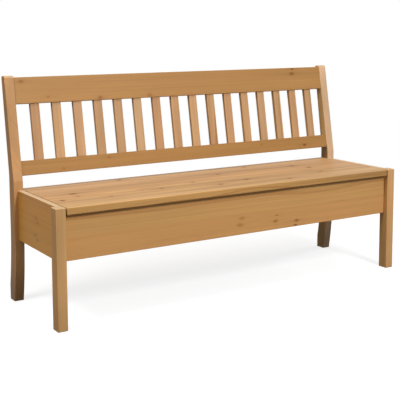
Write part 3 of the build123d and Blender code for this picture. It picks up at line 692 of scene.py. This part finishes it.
# %% [markdown]
# ## Sheen and relief
# Wax and wood have an IOR of about 1.5. A hard polish would mirror the white studio and grey the
# colour, so the gleam is held back to half. The hard summer wood takes a better polish than the
# soft spring wood and stands a few hundredths of a millimetre proud of it, fibres and end grain
# are rougher, and a glue joint is a fine groove. The relief is bump only, because it is too low
# to change an outline.

# %% Sheen and relief
WOOD_IOR = 1.5
WOOD_GLEAM = 0.25
SUMMER_POLISH = -0.10
FIBRE_ROUGH = 0.06
END_GRAIN_ROUGH = 0.12
SUMMER_HEIGHT = 0.6
JOINT_HEIGHT = -0.6
RELIEF = 0.12 * MM
RELIEF_STRENGTH = 0.35


def wood_surface(put, wood, rounded, marks, look):
    """The shader of pine: its colour under a satin sheen, over a fine relief."""
    rough = look["rough"]
    for mark, strength in (("late", SUMMER_POLISH), ("fibre", FIBRE_ROUGH), ("end_grain", END_GRAIN_ROUGH)):
        rough = put("Math", TIMES_PLUS, {0: marks[mark], 1: strength, 2: rough})
    height = put("Math", TIMES_PLUS, {0: marks["late"], 1: SUMMER_HEIGHT, 2: marks["fibre"]})
    height = put("Math", TIMES_PLUS, {0: marks["joint"], 1: JOINT_HEIGHT, 2: height})
    bump = {"Strength": RELIEF_STRENGTH, "Distance": RELIEF, "Height": height, "Normal": rounded}
    sheen = {"Roughness": rough, "IOR": WOOD_IOR, "Specular IOR Level": WOOD_GLEAM}
    return put("BsdfPrincipled", {}, {"Base Color": wood, **sheen, "Normal": put("Bump", {}, bump)})


print("summer wood stands proud by", round(SUMMER_HEIGHT * RELIEF / MM, 2), "mm at most")

# %% [markdown]
# ## Pine, put together
# One function makes the pine for a board or a set of like boards. It is told which way the fibres
# run, which way its best side spreads, and how it is glued up, and any value of its look may be
# given anew. A seed sets its luck, so that the bench looks the same each time it is made.

# %% The pine itself
EDGE_ROUND = 1.6 * MM
BEVEL_SAMPLES = 4


def pine(name, node, grain, face, seed, look=WAXED, lean=0.0, pair=False, strips=None, knots=None, **own):
    """Pine for a board whose fibres run along grain and whose best side spans face."""
    look = {**look, **own}
    material, put = new_material(name)
    (along, across, into), centre, end = board_directions(put, node, grain, face, lean, pair)
    luck, luck_vector, middle, joint = luck_of_the_board(put, across, centre[0], end, strips, seed)
    if knots is None:
        found = scattered_knots(put, along, across, luck_vector, look["knot_stretch"])
    else:
        found = listed_knots(put, along, across, knots, look["knot_stretch"])
    bent, plugs, nearest, tails = found
    radius, place = distance_to_pith(put, along, bent, into, (middle, centre[1]), luck, look)
    streak_scale = (STREAKS_PER_METRE_ALONG, look["streak_scale"], look["streak_scale"])
    band_scale = (BANDS_PER_METRE_ALONG, look["band_scale"], look["band_scale"])
    marks = {
        "late": summer_wood(put, radius, look["ring"]),
        "fibre": stretched_noise(put, place, FIBRE_SCALE, 3.0, 0.0, 1.0),
        "streak": stretched_noise(put, place, streak_scale, 2.0, 0.0, 1.0),
        "band": stretched_noise(put, place, band_scale, 1.0, -0.5, 0.5),
        "cloud": stretched_noise(put, place, CLOUD_SCALE, 2.0, 0.0, 1.0),
        "tails": tails,
        "joint": joint,
        "end_grain": turned_to(put, grain),
    }
    rounded = put("Bevel", {"samples": BEVEL_SAMPLES}, {"Radius": EDGE_ROUND})
    wood = colour_of_the_years(put, marks["late"], luck, look)
    wood = shaded(put, wood, marks, look)
    wood = stained(put, wood, face, look)
    wood = worn(put, wood, rounded, look)
    wood = knotted(put, wood, place, nearest, plugs, look)
    put("OutputMaterial", {}, {"Surface": wood_surface(put, wood, rounded, marks, look)})
    print(name, len(material.node_tree.nodes), "nodes")
    return material


finishes = set()


def finish_with(material, *nodes):
    """Puts a finish on parts of the bench, in every slot they have."""
    finishes.add(material.name)
    for node in nodes:
        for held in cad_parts[node].material_slots:
            held.material = material


print("edges are rounded by", EDGE_ROUND / MM, "mm")

# %% [markdown]
# ## Seat
# The lid and the fixed strip behind it are one glued-up panel of strips a hand wide, with small
# dark knots and lively streaks. The knots are listed as along, across, radius and darkness.

# %% The seat
SEAT_FRONT = -265 * MM
SEAT_STRIP_WIDTH = 103.5 * MM
SEAT_KNOTS = [
    (-657, -24, 12, 1.0), (-745, -127, 10, 1.0), (-303, -109, 7, 1.0), (-52, -160, 9, 1.0),
    (105, -122, 9, 1.0), (277, -202, 8, 1.0), (535, -14, 10, 1.0), (510, -129, 7, 1.0),
    (495, 61, 11, 0.8), (75, 53, 9, 0.8), (-125, -57, 7, 0.8), (-660, -79, 7, 0.8),
    (-550, -147, 6, 0.8), (-360, 160, 8, 0.8), (290, 158, 8, 0.8),
]
finish_with(
    pine(
        "waxed_pine_seat", "seat_lid", "X", "Y", 3, strips=(SEAT_FRONT, SEAT_STRIP_WIDTH), knots=SEAT_KNOTS,
        stain="C3AE95", late="A8703E", contrast=1.0, ring=6 * MM, pith=-60 * MM,
        # painted shading on the lid's narrow sides, deeper in colour and a little darker
        streaks=0.32, streak_scale=64.0, bands=0.40, band_scale=24.0, flank=(1.3, 0.98),
    ),
    "seat_lid", "rear_seat_strip",
)

# %% [markdown]
# ## Boards of the chest
# The front and the rear board are two strips high, and so are the end panels, whose grain runs
# from front to back. The tops of the end panels get a painted highlight. Some knots of the front
# board were cut at a slant and are drawn out along the grain.

# %% Chest boards
CHEST_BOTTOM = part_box("front_board")[0].z
FRONT_BOARD_KNOTS = [
    (171, 292, 5, 0.45), (178, 316, 2.5, 0.5), (285, 282, 5, 0.55), (278, 262, 4, 0.75),
    (-1, 324, 5, 0.16), (-11, 297, 6, 0.2),
]
END_PANEL_KNOTS = [(-29, 381, 5, 0.3), (-44, 366, 5, 0.3), (-18, 316, 5, 0.45), (-36, 298, 5, 0.5)]
finish_with(
    pine(
        "waxed_pine_front_board", "front_board", "X", "Z", 11, strips=(CHEST_BOTTOM, 87 * MM),
        knots=FRONT_BOARD_KNOTS, knot_stretch=2.0, stain="D0B28A", contrast=0.5,
    ),
    "front_board",
)
finish_with(
    pine("waxed_pine_rear_board", "rear_board", "X", "Z", 12, strips=(CHEST_BOTTOM, 89 * MM), pith=-60 * MM),
    "rear_board",
)
finish_with(
    pine(
        "waxed_pine_end_panels", "end_panel_left", "Y", "Z", 17, pair=True, strips=(CHEST_BOTTOM, 100 * MM),
        knots=END_PANEL_KNOTS, knot="A85A10", knot_rim="7A3000",
        # a painted highlight on the tops of the end panels
        stain="D8AA59", pith=-60 * MM, clouds=0.12, rubbed=0.9,
    ),
    "end_panel_left", "end_panel_right",
)

# %% [markdown]
# ## Rails of the back
# The rails lie on a plane that leans back by about ten degrees, so their measures are turned
# upright first. Their knots are listed by their height above the floor, which one function turns
# into a length up the slope.

# %% Back rails
RAKE = math.radians(10.098)
RAIL_FRONT = 162.06
RAIL_FRONT_HEIGHT = 497
TOP_RAIL_KNOTS = [
    (-762, 892, 6, 0.45), (-415, 813, 6, 0.5), (625, 903, 4, 0.9), (620, 881, 7, 0.62),
    (-175, 813, 6, 0.22), (-650, 826, 4, 0.25),
]
LOWER_RAIL_KNOTS = [(655, 536, 5, 1.0), (-400, 561, 4, 0.3), (-610, 531, 4, 0.2), (400, 556, 4, 0.25)]


def up_the_rake(height):
    """A height above the floor on the front of the back, in mm, measured along its slope.

    The front of the back is at Y = RAIL_FRONT where its height is RAIL_FRONT_HEIGHT.
    """
    depth = RAIL_FRONT + (height - RAIL_FRONT_HEIGHT) * math.tan(RAKE)
    return height * math.cos(RAKE) + depth * math.sin(RAKE)


for rail, title, seed, stain, knots in (
    ("top_rail", "top_rail", 21, "B2956D", TOP_RAIL_KNOTS),
    ("lower_back_rail", "lower_rail", 22, "A88B62", LOWER_RAIL_KNOTS),
):
    knots = [(along, up_the_rake(height), radius, darkness) for along, height, radius, darkness in knots]
    wood = pine(
        "waxed_pine_" + title, rail, "X", "Z", seed, lean=RAKE, knots=knots, knot_stretch=1.7, stain=stain,
    )
    finish_with(wood, rail)

# %% [markdown]
# ## Slats of the back
# Each slat is cut from another plank, so each has its own tone, as if the row were one board glued
# up from strips that are a slat's pitch wide. They are free of knots, as slats so thin have to be,
# and their narrow sides get painted shade.

# %% Back slats
SLAT_PITCH = 94.587 * MM
back_slats = sorted(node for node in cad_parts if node.startswith("back_slat_"))
finish_with(
    pine(
        "waxed_pine_back_slats", "back_slat_01", "Z", "X", 31, lean=RAKE,
        strips=(-len(back_slats) / 2 * SLAT_PITCH, SLAT_PITCH), knots=[],
        # painted shade on the slats' narrow sides, deeper in colour and darker
        stain="C8B19D", tone=0.55, clouds=0.26, streaks=0.28, flank=(1.2, 0.80),
    ),
    *back_slats,
)

# %% [markdown]
# ## Posts
# The posts are sawn from straight-grained stock without knots, the back ones in a curve that cuts
# across the grain. Each comes from another plank and took the stain its own way. Each post gets
# painted shading on its narrow sides, painted shade towards the floor and a painted highlight on
# its top, and a back post also gets painted shade on its inner side below the lower rail. The inner
# side of a back post faces the other post, to the right on the left one, which the sign of its
# painted corner shade says.

# %% Posts
for post, seed, pith, stain, flank, foot, corner in (
    ("front_post_left", 41, 55 * MM, "D6BB98", (1.45, 0.93), 0.92, 0.0),
    ("front_post_right", 44, 60 * MM, "E5C4A3", (1.15, 1.04), 0.92, 0.0),
    ("back_post_left", 42, 75 * MM, "CAAA8B", (1.45, 0.69), 0.56, 1.0),
    ("back_post_right", 45, 70 * MM, "ECD7CF", (1.45, 0.93), 0.78, -1.0),
):
    wood = pine(
        "waxed_pine_" + post, post, "Z", "X", seed, knots=[], pith=pith, stain=stain,
        # painted shading on the narrow sides, painted shade low down and below the lower rail, and a painted
        # highlight on the top
        flank=flank, foot=foot, corner=corner, rubbed=0.6, clouds=0.36, contrast=0.5,
    )
    finish_with(wood, post)

# %% [markdown]
# ## Inside the chest
# What is inside is planed and left bare, as on most chests. The slats of the bed are alternately
# fixed and pulled out, and all come from different planks. Only the folding legs are waxed, since
# they show when the bed is open.

# %% Inner timber
BED_SLAT_PITCH = 75.55 * MM
BED_SLATS = 21
finish_with(
    pine("bare_pine_long_rails", "front_cross_rail", "X", "Z", 51, look=PLANED),
    "front_cross_rail", "rear_slat_ledger", "slat_tie_bar",
)
finish_with(
    pine("bare_pine_cleats", "lid_cleat_left", "Y", "Z", 52, look=PLANED, pair=True),
    "lid_cleat_left", "lid_cleat_right", "lid_batten_left", "lid_batten_right",
    "leg_stop_left", "leg_stop_right",
)
finish_with(
    pine(
        "bare_pine_bed_slats", "fixed_bed_slats", "Y", "X", 53, look=PLANED,
        strips=(-BED_SLATS / 2 * BED_SLAT_PITCH, BED_SLAT_PITCH), tone=0.6,
    ),
    "fixed_bed_slats", "pull_out_bed_slats",
)
finish_with(
    pine("waxed_pine_legs", "folding_leg_left", "X", "Z", 54, pair=True),
    "folding_leg_left", "folding_leg_right",
)

# %% [markdown]
# ## Dowels
# Beech is close and even: a pinkish tan with dark flecks, a millimetre wide and a few long, where
# the saw crosses the rays. Two pieces of noise, one drawn out further than the other, make the
# flecks and the faint bands under them. Flecks and bands are counted per metre, first across the
# grain and then along it. The dowels are turned and left bare, so they are nearly matt.

# %% Beech dowels
BEECH = "CFA77A"
BEECH_FLECK = "9A6B45"
FLECKS = (900.0, 220.0)
FLECK_RANGE = (-1.4, 1.0)
BANDS = (260.0, 12.0)
BAND_RANGE = (0.9, 1.1)
BEECH_ROUGH = 0.6
BEECH_GLEAM = 0.4
BEECH_RELIEF = 0.05 * MM
BEECH_RELIEF_STRENGTH = 0.3


def per_axis(grain, marks):
    """Marks per metre along X, Y and Z, from those across the grain and those along it."""
    across, along = marks
    return [along if axis == grain else across for axis in AXES]


def beech(name, grain):
    """Bare beech, its fibres along the grain axis."""
    material, put = new_material(name)
    place = put("TexCoord").node.outputs["Object"]
    flecks = stretched_noise(put, place, per_axis(grain, FLECKS), 2.0, *FLECK_RANGE)
    bands = stretched_noise(put, place, per_axis(grain, BANDS), 2.0, *BAND_RANGE)
    wood = put("Mix", COLOURS, {"Factor": flecks, "A": colour(BEECH), "B": colour(BEECH_FLECK)})
    wood = put("HueSaturation", {}, {"Value": bands, "Color": wood})
    bump = {"Strength": BEECH_RELIEF_STRENGTH, "Distance": BEECH_RELIEF, "Height": flecks}
    sheen = {"Roughness": BEECH_ROUGH, "Specular IOR Level": BEECH_GLEAM}
    finish = {**sheen, "Normal": put("Bump", {}, bump)}
    put("OutputMaterial", {}, {"Surface": put("BsdfPrincipled", {}, {"Base Color": wood, **finish})})
    return material


finish_with(beech("bare_beech_seat_strip_dowels", "Z"), "seat_strip_dowels")
finish_with(beech("bare_beech_cross_rail_dowels", "X"), "cross_rail_dowels")
print("beech flecks are about", round(1 / FLECKS[0] / MM, 1), "by", round(1 / FLECKS[1] / MM, 1), "mm")

# %% [markdown]
# ## Metal
# Screws, bolts, washers and nuts are zinc plated and blue passivated: a cool grey with a faint
# mottle, a few millimetres across, and a satin shine. The lid turns on ground steel pins, whose
# fine scratches run round them, so they are close together along the pin and long across it.

# %% Screws, leg fittings and pins
SCREW_MOTTLE = (500.0, 500.0, 500.0)
FITTING_MOTTLE = (300.0, 300.0, 300.0)
PIN_SCRATCHES = (1600.0, 90.0, 90.0)
MARK_ROUGH = 0.14
METAL_RELIEF = 0.03 * MM
METAL_RELIEF_STRENGTH = 0.2


def plain_metal(name, light, dark, rough, marks):
    """Metal with marks that are so many per metre along X, Y and Z."""
    material, put = new_material(name)
    place = put("TexCoord").node.outputs["Object"]
    mottle = stretched_noise(put, place, marks, 3.0, 0.0, 1.0)
    tone = put("Mix", COLOURS, {"Factor": mottle, "A": colour(light), "B": colour(dark)})
    sheen = put("Math", TIMES_PLUS, {0: mottle, 1: MARK_ROUGH, 2: rough})
    bump = {"Strength": METAL_RELIEF_STRENGTH, "Distance": METAL_RELIEF, "Height": mottle}
    finish = {"Metallic": 1.0, "Roughness": sheen, "Normal": put("Bump", {}, bump)}
    put("OutputMaterial", {}, {"Surface": put("BsdfPrincipled", {}, {"Base Color": tone, **finish})})
    return material


finish_with(
    plain_metal("zinc_plated_screws", "D2D4D6", "A9ADB2", 0.30, SCREW_MOTTLE),
    *[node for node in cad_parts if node.endswith("_screws")],
)
finish_with(
    plain_metal("zinc_plated_leg_fittings", "CED1D4", "A3A8AE", 0.32, FITTING_MOTTLE),
    "leg_pivot_bolts", "leg_washers", "leg_lock_nuts",
)
finish_with(plain_metal("ground_steel_pins", "B9B9B6", "8E8E8C", 0.22, PIN_SCRATCHES), "lid_pivot_pins")
print("the mottle of a screw is about", 1 / SCREW_MOTTLE[0] / MM, "mm across")

# %% [markdown]
# ## Nylon
# The spacer washers on the lid's pins are moulded nylon: a warm white that is never quite even,
# with the dull gloss of a plain mould.

# %% Nylon washers
NYLON = "E6E3D8"
NYLON_SHADE = "D8D3C4"
NYLON_UNEVEN = (180.0, 180.0, 180.0)
NYLON_ROUGH = 0.42
NYLON_UNEVEN_ROUGH = 0.10
NYLON_IOR = 1.53
NYLON_RELIEF = 0.05 * MM
NYLON_RELIEF_STRENGTH = 0.15


def moulded_nylon(name):
    """Nylon, slightly uneven in colour and gloss."""
    material, put = new_material(name)
    place = put("TexCoord").node.outputs["Object"]
    uneven = stretched_noise(put, place, NYLON_UNEVEN, 2.0, 0.0, 1.0)
    tone = put("Mix", COLOURS, {"Factor": uneven, "A": colour(NYLON), "B": colour(NYLON_SHADE)})
    sheen = put("Math", TIMES_PLUS, {0: uneven, 1: NYLON_UNEVEN_ROUGH, 2: NYLON_ROUGH})
    bump = {"Strength": NYLON_RELIEF_STRENGTH, "Distance": NYLON_RELIEF, "Height": uneven}
    finish = {"Roughness": sheen, "IOR": NYLON_IOR, "Normal": put("Bump", {}, bump)}
    put("OutputMaterial", {}, {"Surface": put("BsdfPrincipled", {}, {"Base Color": tone, **finish})})
    return material


finish_with(moulded_nylon("moulded_nylon_washers"), "lid_spacer_washers")
print("nylon is uneven over about", round(1 / NYLON_UNEVEN[0] / MM, 1), "mm")

# %% [markdown]
# ## Parts without a finish
# Every part has to have a finish by now, and the parts that still lack one are printed.

# %% Finish
bare = [
    node
    for node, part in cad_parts.items()
    if any(held.material is None or held.material.name not in finishes for held in part.material_slots)
]
print(len(finishes), "finishes; parts without one:", bare)
